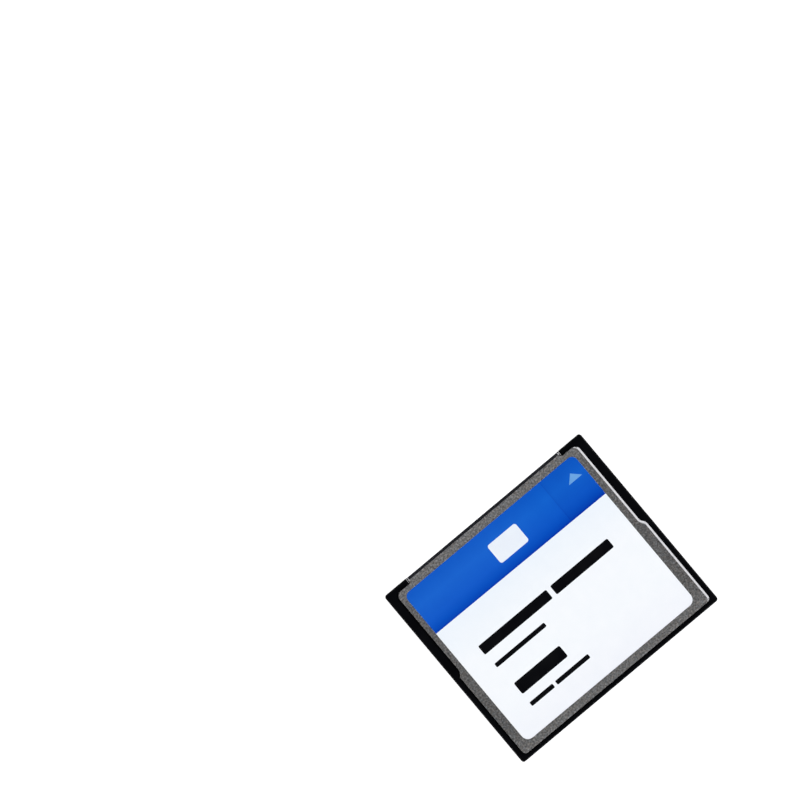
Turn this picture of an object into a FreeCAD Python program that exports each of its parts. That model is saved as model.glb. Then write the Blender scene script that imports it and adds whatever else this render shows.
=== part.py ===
import FreeCAD, Part
import os
import re
import Sketcher
from math import cos, tan

# A memory card of the thin, compact kind, 42.8 x 36.4 x 3.3 mm.
# X runs across the card, +Y points at the socket edge that goes into the reader and +Z at the
# labelled side. The origin is under the middle of the card, on the flat of its lower cover.
#
# The card comes apart like this: two stamped steel covers are bonded, with a film under each,
# onto a black moulded frame. The frame is open at the front, where the 50-way socket closes it.
# The circuit board is soldered to the tails of the socket contacts, and its edges lie on
# shelves inside the frame.

# Driving dimensions in millimetres, in the order in which the card is put together.
SIZES = {
    "card_width": 42.8,
    "card_length": 36.4,
    "covers_height": 3.2,          # over both covers, without the label
    "frame_corner": 0.5,           # the four upright corners
    "frame_bevel": 0.2,            # upper and lower outer edges
    "cover_gauge": 0.2,
    "cover_rim": 0.45,             # depth of the turned-down rim
    "cover_bevel": 0.3,            # coined along the rim, outside
    "cover_front_side": 1.6,       # from the side of the card, between the guide slots
    "cover_rear_side": 0.97,       # the same behind the slots, where the cover widens
    "cover_shoulder": 0.93,        # from the front edge of the card
    "cover_rear_margin": 0.72,     # from the rear edge of the card
    "cover_waist": 18.15,          # from the front edge to the middle of the widening
    "cover_waist_round": 0.8,
    "cover_front_corner": 1.2,
    "cover_rear_corner": 0.9,
    "tab_side": 4.8,               # the cover's tongue over the socket, from the side of the card
    "tab_margin": 0.04,            # from the front edge of the card
    "tab_corner": 0.45,
    "tab_inner_corner": 0.25,
    "rim_clearance": 0.1,          # outside the rim in its channel
    "ledge_clearance": 0.2,        # inside it
    "rim_floor_clearance": 0.03,
    "film_gauge": 0.05,
    "film_margin": 0.55,           # film edge inside the cover edge
    "film_setback": 0.15,          # film edge behind the edge of the ledge
    "label_gauge": 0.1,
    "label_side": 2.92,            # from the side of the card
    "label_front": 1.98,           # from its front edge
    "label_rear": 2.31,            # from its rear edge
    "label_shift": 0.21,           # the label was laid this far off the middle
    "label_front_corner": 1.1,
    "label_rear_corner": 1.3,
    "ledge_width": 0.9,            # between the cover's channel and the cavity
    "rear_wall": 2.4,
    "cavity_clearance": 0.6,       # from the socket to where the cavity begins to widen
    "cavity_ramp": 0.9,
    "cavity_corner": 0.6,
    "ear_reach": 1.2,              # how far the socket's ears stand out
    "ear_front": 2.0,
    "ear_length": 3.4,
    "ear_height": 1.6,
    "slot_length": 25.78,
    "slot_depth": 0.99,
    "narrow_slot": 1.01,
    "wide_slot": 1.6,
    "slot_end_round": 0.4,
    "board_gauge": 0.6,
    "board_clearance": 0.2,        # to the sides of the cavity
    "board_front_clearance": 0.5,  # to the socket
    "shoulder_clearance": 0.6,     # to the socket's arms
    "board_rear_clearance": 0.6,
    "board_corner": 0.8,
    "key_width": 1.6,              # ribs of the frame in the side notches of the board
    "key_reach": 0.65,
    "key_clearance": 0.08,
    "shelf_reach": 0.9,
    "shelf_height": 0.55,
    "shelf_length": 6.0,
    "front_shelf_margin": 1.0,     # behind the board's shoulders
    "rear_shelf_margin": 2.6,      # in front of the rear wall
    "flank_clearance": 0.1,        # between the socket and the rims beside the tongue
    "housing_length": 6.0,
    "housing_fit": 0.05,
    "lip_clearance": 0.05,
    "arm_width": 0.75,
    "arm_length": 2.6,
    "arm_height": 1.9,
    "column_margin": 1.3,          # from the side of the tongue to the first column, at least
    "contact_pitch": 1.27,
    "row_spacing": 1.27,
    "mouth_width": 0.74,
    "mouth_depth": 0.24,
    "entry_width": 0.5,
    "front_wall": 0.8,
    "cell_width": 0.9,
    "cell_height": 0.84,
    "contact_gauge": 0.12,
    "contact_setback": 0.15,       # behind the front wall
    "contact_lead": 0.85,          # from the flared tip to the narrowest point
    "contact_seat": 0.4,           # from the heel to the open end of the cell
    "contact_gap": 0.36,
    "contact_flare": 0.1,
    "tail_width": 0.4,
    "tail_reach": 1.5,             # of the tails over the board
    "memory_length": 18.4,
    "memory_width": 8.0,
    "memory_reach": 0.8,           # of the leads beyond the package
    "memory_margin": 1.4,          # to the rear edge of the board
    "memory_leads": 16,
    "memory_pitch": 0.5,
    "package_height": 0.95,
    "package_standoff": 0.05,
    "package_draft": 6.0,
    "lead_gauge": 0.12,
    "lead_width": 0.2,
    "lead_shoulder": 0.2,
    "controller_side": 7.0,
    "controller_reach": 1.0,
    "controller_margin": 0.6,      # behind the tails of the contacts
    "controller_shift": 3.0,
    "controller_leads": 8,
    "controller_pitch": 0.8,
    "regulator_length": 2.9,
    "regulator_width": 1.6,
    "regulator_reach": 0.6,
    "regulator_pitch": 0.95,
    "regulator_lead_width": 0.4,
    "regulator_place": 12.6,
    "regulator_depth": 12.2,
    "tantalum_length": 3.2,
    "tantalum_width": 1.6,
    "tantalum_place": 12.6,
    "tantalum_depth": 16.6,
    "crystal_length": 3.2,
    "crystal_width": 2.5,
    "crystal_height": 0.75,
    "crystal_base": 0.45,
    "crystal_ledge": 0.2,
    "crystal_place": -4.9,
    "crystal_depth": 16.2,
    "capacitor_length": 1.6,
    "capacitor_width": 0.8,
    "capacitor_height": 0.8,
    "capacitor_margin": 2.2,
    "capacitor_pitch": 3.0,
    "resistor_length": 1.0,
    "resistor_width": 0.5,
    "resistor_height": 0.35,
    "resistor_count": 6,
    "resistor_pitch": 1.3,
    "resistor_place": -14.0,
    "resistor_depth": 11.2,
    "array_length": 2.0,
    "array_width": 1.0,
    "array_count": 3,
    "array_pitch": 2.8,
    "array_place": -13.4,
    "array_depth": 15.4,
    "overrun": 1.0,                # how far a cutting outline runs past the piece
    "overlap": 0.2,                # how far one feature of a piece starts inside another
}

# Dimensions that follow from those, so that the pieces still fit when one is changed.
FITS = {
    "cover_front_width": "=card_width - 2 * cover_front_side",
    "cover_rear_width": "=card_width - 2 * cover_rear_side",
    "tab_width": "=card_width - 2 * tab_side",
    "label_width": "=card_width - 2 * label_side",
    "label_length": "=card_length - label_front - label_rear",
    "cavity_width": "=cover_front_width - 2 * (cover_gauge + ledge_clearance + ledge_width)",
    "cavity_front": "=housing_length + cavity_clearance",
    "cavity_rear": "=card_length - rear_wall",
    "board_width": "=cavity_width - 2 * board_clearance",
    "board_front": "=housing_length + board_front_clearance",
    "board_shoulder": "=housing_length + arm_length + shoulder_clearance",
    "board_rear": "=cavity_rear - board_rear_clearance",
    "board_tongue_width": "=housing_width + 2 * housing_fit",
    "front_shelf": "=board_shoulder + front_shelf_margin",
    "rear_shelf": "=cavity_rear - rear_shelf_margin - shelf_length",
    "key_place": "=rear_shelf + shelf_length / 2",
    "housing_width": "=tab_width - 2 * (cover_gauge + flank_clearance)",
    "columns": "=floor((tab_width - 2 * column_margin) / contact_pitch) + 1",
    "contact_tip": "=tab_margin + front_wall + contact_setback",
    "contact_point": "=contact_tip + contact_lead",
    "contact_heel": "=housing_length - contact_seat",
    "tail_end": "=board_front + tail_reach",
    "memory_span": "=memory_length + 2 * memory_reach",
    "memory_place": "=board_rear - memory_margin - memory_width / 2",
    "controller_span": "=controller_side + 2 * controller_reach",
    "controller_place": "=tail_end + controller_margin + controller_span / 2",
    "regulator_span": "=regulator_width + 2 * regulator_reach",
}

document = FreeCAD.newDocument("FlashCard")
sheet = document.addObject("Spreadsheet::Sheet", "Sizes")
cells = {**SIZES, **FITS}
for row, (name, value) in enumerate(cells.items(), start=1):
    sheet.set("A%d" % row, name)
    sheet.set("B%d" % row, str(value))
    sheet.setAlias("B%d" % row, name)
document.recompute()


def link(text):
    """Point each size named in an expression at its cell."""
    return re.sub(r"[a-z_]+", lambda word: "Sizes." + word[0] if word[0] in cells else word[0], text)


def back(depth):
    """Y of a place that lies this far behind the front edge of the card."""
    return "(card_length / 2 - (%s))" % depth


# Heights that several pieces share.
MID = "(covers_height / 2)"
COVER_UNDER = "(covers_height - cover_gauge)"
LEDGE_TOP = "(covers_height - cover_gauge - film_gauge)"
LEDGE_FOOT = "(cover_gauge + film_gauge)"
RIM_FOOT = "(covers_height - cover_rim)"
BOARD_TOP = "(covers_height / 2 + board_gauge / 2)"
BOARD_FOOT = "(covers_height / 2 - board_gauge / 2)"


def new_body(label):
    """A sub-part, whose label names its file."""
    body = document.addObject("PartDesign::Body", label)
    body.Label = label
    return body


def origin_item(body, role):
    """One of the body's own planes or axes."""
    return [item for item in body.Origin.OriginFeatures if item.Role == role][0]


def new_sketch(body, role, offset="0"):
    """A sketch on one of the body's own planes, lifted off it by an expression."""
    sketch = body.newObject("Sketcher::SketchObject", body.Label + "_sketch")
    sketch.AttachmentSupport = (origin_item(body, role), [""])
    sketch.MapMode = "FlatFace"
    sketch.setExpression("AttachmentOffset.Base.z", link(offset))
    return sketch


def draw_loop(sketch, corners):
    """Draw a closed outline. A corner is (x, y) or (x, y, radius), all written as expressions."""
    corners = [[link(text) for text in corner] for corner in corners]
    numbers = [[float(sketch.evalExpression(text)) for text in corner] for corner in corners]
    count = len(corners)
    starts, ends, middles = [], [], []
    for index, number in enumerate(numbers):
        here = FreeCAD.Vector(number[0], number[1], 0)
        before = FreeCAD.Vector(*numbers[index - 1][:2], 0)
        after = FreeCAD.Vector(*numbers[(index + 1) % count][:2], 0)
        inward = (here - before).normalize()
        outward = (after - here).normalize()
        radius = number[2] if len(number) > 2 else 0.0
        half_turn = inward.getAngle(outward) / 2
        starts.append(here - inward * radius * tan(half_turn))
        ends.append(here + outward * radius * tan(half_turn))
        centre = here + (outward - inward).normalize() * (radius / cos(half_turn))
        middles.append(centre + (here - centre).normalize() * radius if radius else None)
    lines = [sketch.addGeometry(Part.LineSegment(ends[index], starts[(index + 1) % count]))
             for index in range(count)]
    rules, bindings = [], []
    for index, corner in enumerate(corners):
        before, after = lines[index - 1], lines[index]
        x, y = numbers[index][:2]
        marked = after
        if middles[index] is None:
            rules.append(Sketcher.Constraint("Coincident", before, 2, after, 1))
        else:
            arc = sketch.addGeometry(Part.Arc(starts[index], middles[index], ends[index]))
            first = 1 if sketch.getPoint(arc, 1).isEqual(starts[index], 1e-6) else 2
            marked = sketch.addGeometry(Part.Point(FreeCAD.Vector(x, y, 0)), True)
            rules.append(Sketcher.Constraint("Tangent", before, 2, arc, first))
            rules.append(Sketcher.Constraint("Tangent", arc, 3 - first, after, 1))
            rules.append(Sketcher.Constraint("PointOnObject", marked, 1, before))
            rules.append(Sketcher.Constraint("PointOnObject", marked, 1, after))
            bindings.append((len(rules), corner[2]))
            rules.append(Sketcher.Constraint("Radius", arc, numbers[index][2]))
        bindings.append((len(rules), corner[0]))
        rules.append(Sketcher.Constraint("DistanceX", -1, 1, marked, 1, x))
        bindings.append((len(rules), corner[1]))
        rules.append(Sketcher.Constraint("DistanceY", -1, 1, marked, 1, y))
    first_rule = sketch.ConstraintCount
    sketch.addConstraint(rules)
    for place, text in bindings:
        sketch.setExpression("Constraints[%d]" % (first_rule + place), text)


def draw_box(sketch, left, right, low, high):
    """Draw a rectangle between four expressions."""
    draw_loop(sketch, [(left, low), (right, low), (right, high), (left, high)])


def both_sides(corners):
    """Complete the corners of a right half, listed clockwise, with their mirror images."""
    mirrored = [("-(%s)" % corner[0],) + corner[1:] for corner in reversed(corners)]
    return corners + mirrored


def pad(body, sketch, length, middle=False, flip=False, draft=None):
    """Thicken a sketch into the body: along its normal, against it, or both ways."""
    feature = body.newObject("PartDesign::Pad", body.Label + "_pad")
    feature.Profile = sketch
    feature.setExpression("Length", link(length))
    feature.Midplane = middle
    feature.Reversed = flip
    if draft:
        feature.setExpression("TaperAngle", link(draft))
    document.recompute()
    return feature


def pocket(body, sketch, length, middle=False, flip=False, draft=None):
    """Cut a sketch into the body: against its normal, along it, or both ways."""
    before = body.Shape.Volume
    feature = body.newObject("PartDesign::Pocket", body.Label + "_pocket")
    feature.Profile = sketch
    feature.setExpression("Length", link(length))
    feature.Midplane = middle
    feature.Reversed = flip
    if draft:
        feature.setExpression("TaperAngle", link(draft))
    document.recompute()
    if body.Shape.Volume > before - 1e-6:
        raise RuntimeError("%s cuts nothing" % feature.Label)
    return feature


def repeat(body, features, role, count, pitch):
    """Repeat features at an even pitch along one of the body's own axes."""
    pattern = body.newObject("PartDesign::LinearPattern", body.Label + "_row")
    pattern.Originals = features
    pattern.Direction = (origin_item(body, role), [""])
    pattern.setExpression("Length", link("(%s - 1) * %s" % (count, pitch)))
    pattern.setExpression("Occurrences", link(count))
    body.Tip = pattern
    document.recompute()
    return pattern


def flat_edges(body, axis, place):
    """Names of the body's edges that lie wholly at one place along an axis."""
    level = float(sheet.evalExpression(link(place)))
    names = []
    for number, edge in enumerate(body.Shape.Edges, start=1):
        low = getattr(edge.BoundBox, axis + "Min")
        high = getattr(edge.BoundBox, axis + "Max")
        if abs(low - level) < 1e-6 and abs(high - level) < 1e-6:
            names.append("Edge%d" % number)
    return names


def bevel_edges(body, names, size):
    """Bevel the named edges of the body as it stands."""
    base = body.Tip
    feature = body.newObject("PartDesign::Chamfer", body.Label + "_chamfer")
    feature.Base = (base, names)
    feature.setExpression("Size", link(size))
    document.recompute()
    return feature


def mirror_below(label, source):
    """The same piece on the other side of the card's middle height."""
    mirror = document.addObject("Part::Mirroring", label)
    mirror.Label = label
    mirror.Source = source
    mirror.Normal = FreeCAD.Vector(0, 0, 1)
    mirror.setExpression("Base.z", link(MID))
    document.recompute()
    return mirror


def cover_outline(offset="0"):
    """The covers' outline from above, moved outwards by an offset: a tongue over the socket,
    square shoulders, and a waist behind the guide slots where the cover widens."""
    front = "(%s + (%s))" % (back("tab_margin"), offset)
    shoulder = "(%s + (%s))" % (back("cover_shoulder"), offset)
    rear = "(-(card_length / 2) + cover_rear_margin - (%s))" % offset
    tab = "(tab_width / 2 + (%s))" % offset
    narrow = "(cover_front_width / 2 + (%s))" % offset
    wide = "(cover_rear_width / 2 + (%s))" % offset
    step = "((cover_rear_width - cover_front_width) / 4)"
    waist = "(%s + (sqrt(2) - 1) * (%s))" % (back("cover_waist"), offset)
    return both_sides([
        (tab, front, "tab_corner + (%s)" % offset),
        (tab, shoulder, "tab_inner_corner - (%s)" % offset),
        (narrow, shoulder, "cover_front_corner + (%s)" % offset),
        (narrow, "%s + %s" % (waist, step), "cover_waist_round - (%s)" % offset),
        (wide, "%s - %s" % (waist, step), "cover_waist_round + (%s)" % offset),
        (wide, rear, "cover_rear_corner + (%s)" % offset)])


# The moulded frame: side rails and rear wall round an open cavity, with the channels that take
# the rims of both covers, the guide slots, and the shelves and keys that hold the board.

def build_frame():
    frame = new_body("frame")
    half_width = "(card_width / 2)"
    half_length = "(card_length / 2)"
    outside = new_sketch(frame, "XY_Plane", LEDGE_FOOT)
    draw_loop(outside, both_sides([
        (half_width, half_length, "frame_corner"),
        (half_width, "-" + half_length, "frame_corner")]))
    pad(frame, outside, LEDGE_TOP + " - " + LEDGE_FOOT)
    rims = flat_edges(frame, "Z", LEDGE_TOP) + flat_edges(frame, "Z", LEDGE_FOOT)
    bevel_edges(frame, rims, "frame_bevel")

    mouth = "(tab_width / 2 + rim_clearance)"
    ear = "(housing_width / 2 + ear_reach + housing_fit)"
    wide = "(cavity_width / 2)"
    cavity = new_sketch(frame, "XY_Plane", LEDGE_TOP)
    draw_loop(cavity, both_sides([
        (mouth, half_length + " + overrun"),
        (mouth, back("ear_front - housing_fit")),
        (ear, back("ear_front - housing_fit")),
        (ear, back("cavity_front")),
        (wide, back("cavity_front + cavity_ramp")),
        (wide, back("cavity_rear"), "cavity_corner")]))
    pocket(frame, cavity, "covers_height")

    channel = new_sketch(frame, "XY_Plane", LEDGE_TOP)
    draw_loop(channel, cover_outline("rim_clearance"))
    draw_loop(channel, cover_outline("-cover_gauge - ledge_clearance"))
    depth = "cover_rim - cover_gauge - film_gauge + rim_floor_clearance"
    upper_channel = pocket(frame, channel, depth)
    middle = frame.newObject("PartDesign::Plane", "frame_middle")
    middle.AttachmentSupport = (origin_item(frame, "XY_Plane"), [""])
    middle.MapMode = "FlatFace"
    middle.setExpression("AttachmentOffset.Base.z", link(MID))
    lower_channel = frame.newObject("PartDesign::Mirrored", "lower_channel")
    lower_channel.Originals = [upper_channel]
    lower_channel.MirrorPlane = (middle, [""])
    frame.Tip = lower_channel
    document.recompute()

    for side, height in (("-", "narrow_slot"), ("", "wide_slot")):
        slot = new_sketch(frame, "XY_Plane", MID)
        draw_loop(slot, [
            (side + "(card_width / 2 - slot_depth)", half_length + " + overrun"),
            (side + "(card_width / 2 - slot_depth)", back("slot_length"), "slot_end_round"),
            (side + "(card_width / 2 + overrun)", back("slot_length")),
            (side + "(card_width / 2 + overrun)", half_length + " + overrun")])
        pocket(frame, slot, height, middle=True)

    for side in ("-", ""):
        shelf_edge = side + "(cavity_width / 2 - shelf_reach)"
        in_wall = side + "(cavity_width / 2 + overlap)"
        for place in ("front_shelf", "rear_shelf"):
            shelf = new_sketch(frame, "XY_Plane", BOARD_FOOT)
            draw_loop(shelf, [
                (shelf_edge, back(place)),
                (shelf_edge, back(place + " + shelf_length")),
                (in_wall, back(place + " + shelf_length")),
                (in_wall, back(place))])
            pad(frame, shelf, "shelf_height", flip=True)
        key = new_sketch(frame, "XY_Plane", BOARD_FOOT)
        draw_key(key, side, "0")
        pad(frame, key, "board_gauge + shelf_height")
    return frame


def draw_key(sketch, side, clearance):
    """Draw the rib that keys the board, narrower at its tip. It stands out of the cavity wall,
    and its root goes on into the wall or past the edge of the board."""
    tip = side + "(cavity_width / 2 - key_reach - %s)" % clearance
    foot = side + "(cavity_width / 2 + overrun - %s)" % clearance
    draw_loop(sketch, [
        (foot, back("key_place - (key_width / 2 + %s)" % clearance)),
        (tip, back("key_place - (key_width / 4 + %s)" % clearance)),
        (tip, back("key_place + (key_width / 4 + %s)" % clearance)),
        (foot, back("key_place + (key_width / 2 + %s)" % clearance))])


# The stamped covers: a flat panel with a coined bevel and a turned-down rim all the way round.

def build_cover():
    cover = new_body("top_cover")
    outside = new_sketch(cover, "XY_Plane", "covers_height")
    draw_loop(outside, cover_outline())
    pad(cover, outside, "cover_rim", flip=True)
    bevel_edges(cover, flat_edges(cover, "Z", "covers_height"), "cover_bevel")
    inside = new_sketch(cover, "XY_Plane", COVER_UNDER)
    draw_loop(inside, cover_outline("-cover_gauge"))
    pocket(cover, inside, "cover_rim")
    return cover


# The bonding film: the cover is pressed onto it, over the frame's ledge and the socket.

def build_film():
    film = new_body("top_bonding_film")
    ring = new_sketch(film, "XY_Plane", LEDGE_TOP)
    outer = "(cover_front_width / 2 - film_margin)"
    neck = "(housing_width / 2 + ear_reach)"
    wide = "(cavity_width / 2 + film_setback)"
    draw_loop(ring, both_sides([
        (outer, back("cover_shoulder + film_margin"), "cover_front_corner - film_margin"),
        (outer, "(-(card_length / 2) + cover_rear_margin + film_margin)")]))
    draw_loop(ring, both_sides([
        (neck, back("housing_length - film_setback")),
        (neck, back("cavity_front")),
        (wide, back("cavity_front + cavity_ramp")),
        (wide, back("cavity_rear + film_setback"))]))
    pad(film, ring, "film_gauge")
    return film


def build_label():
    label = new_body("top_label")
    left = "(-label_shift - label_width / 2)"
    right = "(-label_shift + label_width / 2)"
    front = back("label_front")
    rear = back("label_front + label_length")
    outline = new_sketch(label, "XY_Plane", "covers_height")
    draw_loop(outline, [
        (right, front, "label_front_corner"),
        (right, rear, "label_rear_corner"),
        (left, rear, "label_rear_corner"),
        (left, front, "label_front_corner")])
    pad(label, outline, "label_gauge")
    return label


# The 50-way socket: an insulator with two rows of square cells. A pin enters by a flared mouth
# in the front wall, and the contact was pushed in from the open back of the cell.

FIRST_COLUMN = "(-(columns - 1) / 2 * contact_pitch)"


def cut_mouth(housing, nose, axis):
    """Cut the mouth of one cell, which narrows from the nose of the socket to the entry."""
    mouth = housing.newObject("PartDesign::SubtractiveWedge", "mouth")
    for name, middle, side, width in (
            ("Xmin", FIRST_COLUMN, "-", "entry_width"), ("Xmax", FIRST_COLUMN, "+", "entry_width"),
            ("Zmin", axis, "-", "entry_width"), ("Zmax", axis, "+", "entry_width"),
            ("X2min", FIRST_COLUMN, "-", "mouth_width"), ("X2max", FIRST_COLUMN, "+", "mouth_width"),
            ("Z2min", axis, "-", "mouth_width"), ("Z2max", axis, "+", "mouth_width")):
        mouth.setExpression(name, link("%s %s %s / 2" % (middle, side, width)))
    mouth.setExpression("Ymin", link(nose + " - mouth_depth"))
    mouth.setExpression("Ymax", link(nose))
    document.recompute()
    return mouth


def build_housing():
    housing = new_body("connector_housing")
    nose = back("tab_margin")
    behind_lip = back("tab_margin + cover_gauge + lip_clearance")
    rear = back("housing_length")
    over_lip = "(%s - lip_clearance)" % RIM_FOOT
    under_lip = "(cover_rim + lip_clearance)"
    section = new_sketch(housing, "YZ_Plane")
    draw_loop(section, [
        (nose, under_lip), (nose, over_lip),
        (behind_lip, over_lip), (behind_lip, LEDGE_TOP),
        (rear, LEDGE_TOP), (rear, LEDGE_FOOT),
        (behind_lip, LEDGE_FOOT), (behind_lip, under_lip)])
    pad(housing, section, "housing_width", middle=True)

    cheeks = new_sketch(housing, "XY_Plane", MID)
    mouth = "(tab_width / 2 + rim_clearance - housing_fit)"
    draw_box(cheeks, "-" + mouth, mouth, back("ear_front + overlap"), nose)
    pad(housing, cheeks, "%s - %s" % (over_lip, under_lip), middle=True)
    ears = new_sketch(housing, "XY_Plane", MID)
    arms = new_sketch(housing, "XY_Plane", MID)
    for side in ("-", ""):
        inside = side + "(housing_width / 2 - arm_width)"
        flank = side + "(housing_width / 2)"
        tip = side + "(housing_width / 2 + ear_reach)"
        draw_loop(ears, [
            (inside, back("ear_front")),
            (tip, back("ear_front")),
            (tip, back("ear_front + ear_length")),
            (inside, back("ear_front + ear_length"))])
        draw_loop(arms, [
            (inside, back("housing_length - overlap")),
            (flank, back("housing_length - overlap")),
            (flank, back("housing_length + arm_length")),
            (inside, back("housing_length + arm_length"))])
    pad(housing, ears, "ear_height", middle=True)
    pad(housing, arms, "arm_height", middle=True)
    board_slot = new_sketch(housing, "XY_Plane", MID)
    draw_box(board_slot, "-board_tongue_width / 2", "board_tongue_width / 2",
             back("housing_length + arm_length + overrun"), back("housing_length"))
    pocket(housing, board_slot, "board_gauge", middle=True)

    entries = new_sketch(housing, "XZ_Plane", "-" + nose)
    cells = new_sketch(housing, "XZ_Plane", "-" + rear)
    for sketch, across, tall in ((entries, "entry_width", "entry_width"),
                                 (cells, "cell_width", "cell_height")):
        for axis in (MID + " + row_spacing / 2", MID + " - row_spacing / 2"):
            draw_box(sketch, FIRST_COLUMN + " - %s / 2" % across, FIRST_COLUMN + " + %s / 2" % across,
                     axis + " - %s / 2" % tall, axis + " + %s / 2" % tall)
    repeated = [
        cut_mouth(housing, nose, MID + " + row_spacing / 2"),
        cut_mouth(housing, nose, MID + " - row_spacing / 2"),
        pocket(housing, entries, "front_wall + overlap", flip=True),
        pocket(housing, cells, "housing_length - tab_margin - front_wall")]
    repeat(housing, repeated, "X_Axis", "columns", "contact_pitch")
    return housing


# The stamped contacts of the upper row. Each is a strip folded into a U, whose two arms grip the
# pin. Its back is tight in the cell, and a tail runs from it to a pad on the board.

def build_contacts():
    contacts = new_body("upper_contacts")
    arm = [("cell_width / 2", "contact_heel"),
           ("contact_gap / 2 + contact_gauge", "contact_point"),
           ("contact_gap / 2 + contact_gauge + contact_flare", "contact_tip"),
           ("contact_gap / 2 + contact_flare", "contact_tip"),
           ("contact_gap / 2", "contact_point"),
           ("cell_width / 2 - contact_gauge", "contact_heel - contact_gauge")]
    right = [("(%s + (%s))" % (FIRST_COLUMN, reach), back(depth)) for reach, depth in arm]
    left = [("(%s - (%s))" % (FIRST_COLUMN, reach), back(depth)) for reach, depth in reversed(arm)]
    spring = new_sketch(contacts, "XY_Plane", BOARD_TOP)
    draw_loop(spring, right + left)
    fold = pad(contacts, spring, "row_spacing - board_gauge")
    strip = new_sketch(contacts, "XY_Plane", BOARD_TOP)
    draw_box(strip, FIRST_COLUMN + " - tail_width / 2", FIRST_COLUMN + " + tail_width / 2",
             back("tail_end"), back("contact_heel - contact_gauge / 2"))
    tail = pad(contacts, strip, "contact_gauge")
    repeat(contacts, [fold, tail], "X_Axis", "columns", "contact_pitch")
    return contacts


# The circuit board: a tongue between the arms of the socket, and a notch at each side for the
# keys of the frame.

def build_board():
    board = new_body("circuit_board")
    outline = new_sketch(board, "XY_Plane", BOARD_FOOT)
    tongue = "(board_tongue_width / 2)"
    wide = "(board_width / 2)"
    draw_loop(outline, both_sides([
        (tongue, back("board_front")),
        (tongue, back("board_shoulder")),
        (wide, back("board_shoulder"), "board_corner"),
        (wide, back("board_rear"), "board_corner")]))
    pad(board, outline, "board_gauge")
    for side in ("-", ""):
        notch = new_sketch(board, "XY_Plane", BOARD_TOP)
        draw_key(notch, side, "key_clearance")
        pocket(board, notch, "board_gauge + overrun")
    return board


# Moulded packages on the board, with the draft that lets them leave the mould.

def build_package(label, length, width, x, y, standoff="package_standoff"):
    package = new_body(label)
    middle = "(%s + %s + package_height / 2)" % (BOARD_TOP, standoff)
    for flip in (False, True):
        outline = new_sketch(package, "XY_Plane", middle)
        draw_box(outline, "%s - %s / 2" % (x, length), "%s + %s / 2" % (x, length),
                 "%s - %s / 2" % (y, width), "%s + %s / 2" % (y, width))
        pad(package, outline, "package_height / 2", flip=flip, draft="-package_draft")
    return package


def draw_lead(sketch, centre, side, body_width, span):
    """Draw one lead from the side: straight out of the package, then down to the board."""
    def out_to(reach):
        return "(%s %s (%s))" % (centre, side, reach)

    exit_height = "(%s + package_standoff + package_height / 2)" % BOARD_TOP
    start = "%s / 2" % body_width
    knee = "%s / 2 + lead_shoulder" % body_width
    toe = "%s / 2" % span
    draw_loop(sketch, [
        (out_to(start), exit_height + " - lead_gauge / 2"),
        (out_to(knee), exit_height + " - lead_gauge / 2"),
        (out_to(toe), BOARD_TOP),
        (out_to(toe), BOARD_TOP + " + lead_gauge"),
        (out_to(knee), exit_height + " + lead_gauge / 2"),
        (out_to(start), exit_height + " + lead_gauge / 2")])


MEMORY_Y = back("memory_place")
CONTROLLER_Y = back("controller_place")


def build_memory_leads():
    leads = new_body("upper_memory_leads")
    first = MEMORY_Y + " - (memory_leads - 1) / 2 * memory_pitch"
    side_view = new_sketch(leads, "XZ_Plane", "-(%s)" % first)
    for side in ("-", "+"):
        draw_lead(side_view, "0", side, "memory_length", "memory_span")
    pair = pad(leads, side_view, "lead_width", middle=True)
    repeat(leads, [pair], "Y_Axis", "memory_leads", "memory_pitch")
    return leads


def build_controller_leads():
    leads = new_body("controller_leads")
    half_row = "(controller_leads - 1) / 2 * controller_pitch"
    along = new_sketch(leads, "XZ_Plane", "-(%s - %s)" % (CONTROLLER_Y, half_row))
    across = new_sketch(leads, "YZ_Plane", "controller_shift - %s" % half_row)
    for side in ("-", "+"):
        draw_lead(along, "controller_shift", side, "controller_side", "controller_span")
        draw_lead(across, CONTROLLER_Y, side, "controller_side", "controller_span")
    flanks = pad(leads, along, "lead_width", middle=True)
    repeat(leads, [flanks], "Y_Axis", "controller_leads", "controller_pitch")
    ends = pad(leads, across, "lead_width", middle=True)
    repeat(leads, [ends], "X_Axis", "controller_leads", "controller_pitch")
    return leads


# The small parts on the board's upper side. Each group shares one height.

def draw_chip(sketch, x, y, length, width):
    """Draw one small part from above, about its own middle."""
    draw_box(sketch, "%s - %s / 2" % (x, length), "%s + %s / 2" % (x, length),
             "%s - %s / 2" % (y, width), "%s + %s / 2" % (y, width))


def build_capacitors():
    capacitors = new_body("ceramic_capacitors")
    outline = new_sketch(capacitors, "XY_Plane", BOARD_TOP)
    for side in ("-", ""):
        beside_memory = side + "(memory_span / 2 + capacitor_margin)"
        for step in ("-", "0 *", ""):
            depth = "memory_place + %s(capacitor_pitch)" % step
            draw_chip(outline, beside_memory, back(depth), "capacitor_width", "capacitor_length")
        beside_controller = "(controller_shift + %s(controller_span / 2 + capacitor_margin / 2))" % side
        draw_chip(outline, beside_controller, CONTROLLER_Y, "capacitor_width", "capacitor_length")
    pad(capacitors, outline, "capacitor_height")
    return capacitors


def build_resistors():
    resistors = new_body("chip_resistors")
    outline = new_sketch(resistors, "XY_Plane", BOARD_TOP)
    draw_chip(outline, "resistor_place", back("resistor_depth"), "resistor_width", "resistor_length")
    first = pad(resistors, outline, "resistor_height")
    repeat(resistors, [first], "X_Axis", "resistor_count", "resistor_pitch")
    return resistors


def build_resistor_arrays():
    arrays = new_body("resistor_arrays")
    outline = new_sketch(arrays, "XY_Plane", BOARD_TOP)
    draw_chip(outline, "array_place", back("array_depth"), "array_length", "array_width")
    first = pad(arrays, outline, "resistor_height")
    repeat(arrays, [first], "X_Axis", "array_count", "array_pitch")
    return arrays


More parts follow.
